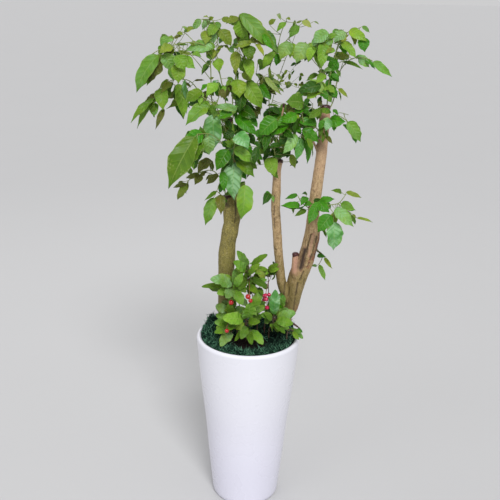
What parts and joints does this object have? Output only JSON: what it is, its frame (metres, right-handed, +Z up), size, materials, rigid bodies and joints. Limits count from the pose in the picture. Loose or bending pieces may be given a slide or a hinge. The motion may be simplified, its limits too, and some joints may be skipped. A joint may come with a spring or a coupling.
{
  "type": "potted china doll plant",
  "caption": "Tall tapered white planter with a leafy tree on two cut-back trunks, over dark moss and a low plant with red berries.",
  "frame": {"origin": "centre of the pot's foot, on the floor", "axes": "+Z up, -Y towards the front, where the bare soil and the berries show"},
  "size_m": [0.7517, 0.3521, 1.5572],
  "materials": {
    "glossy_white": "gloss",
    "potting_soil": "rough crumbly soil",
    "dark_moss": "tufted",
    "olive_bark": "rough bark",
    "tan_bark": "rough bark",
    "dark_bark": "rough bark",
    "leaf_green": "waxy leaf",
    "light_leaf_green": "waxy leaf",
    "berry_red": "shiny berry skin"
  },
  "bodies": {
    "root": {"pot": "glossy_white", "soil": "potting_soil", "moss_carpet": "dark_moss", "trunk_left": "olive_bark", "trunk_right": "tan_bark", "bark_flake": "dark_bark", "leafy_shoot_centre_back": "leaf_green", "leafy_shoot_centre_front": "leaf_green", "leafy_shoot_centre_low": "leaf_green", "leafy_shoot_left_broad": "leaf_green", "leafy_shoot_left_crest": "leaf_green", "leafy_shoot_left_front": "leaf_green", "leafy_shoot_left_hanging": "leaf_green", "leafy_shoot_left_inner": "leaf_green", "leafy_shoot_left_low": "leaf_green", "leafy_shoot_left_middle": "leaf_green", "leafy_shoot_left_outer_high": "leaf_green", "leafy_shoot_left_outer_low": "leaf_green", "leafy_shoot_left_shaded": "leaf_green", "leafy_shoot_left_top": "leaf_green", "leafy_shoot_low_back": "leaf_green", "leafy_shoot_low_front": "leaf_green", "leafy_shoot_low_left": "leaf_green", "leafy_shoot_right_arching": "leaf_green", "leafy_shoot_right_far": "leaf_green", "leafy_shoot_right_inner": "leaf_green", "leafy_shoot_right_side": "leaf_green", "leafy_shoot_right_top": "leaf_green", "berry_plant_crest": "leaf_green", "berry_plant_front": "leaf_green", "berry_plant_left": "leaf_green", "berry_plant_low_left": "leaf_green", "berry_plant_right": "leaf_green", "berry_plant_thin": "leaf_green", "rim_sprig": "light_leaf_green", "berries_centre": "berry_red", "berries_crimson": "berry_red", "berry_left": "berry_red", "berry_low_left": "berry_red"}
  },
  "joints": []
}
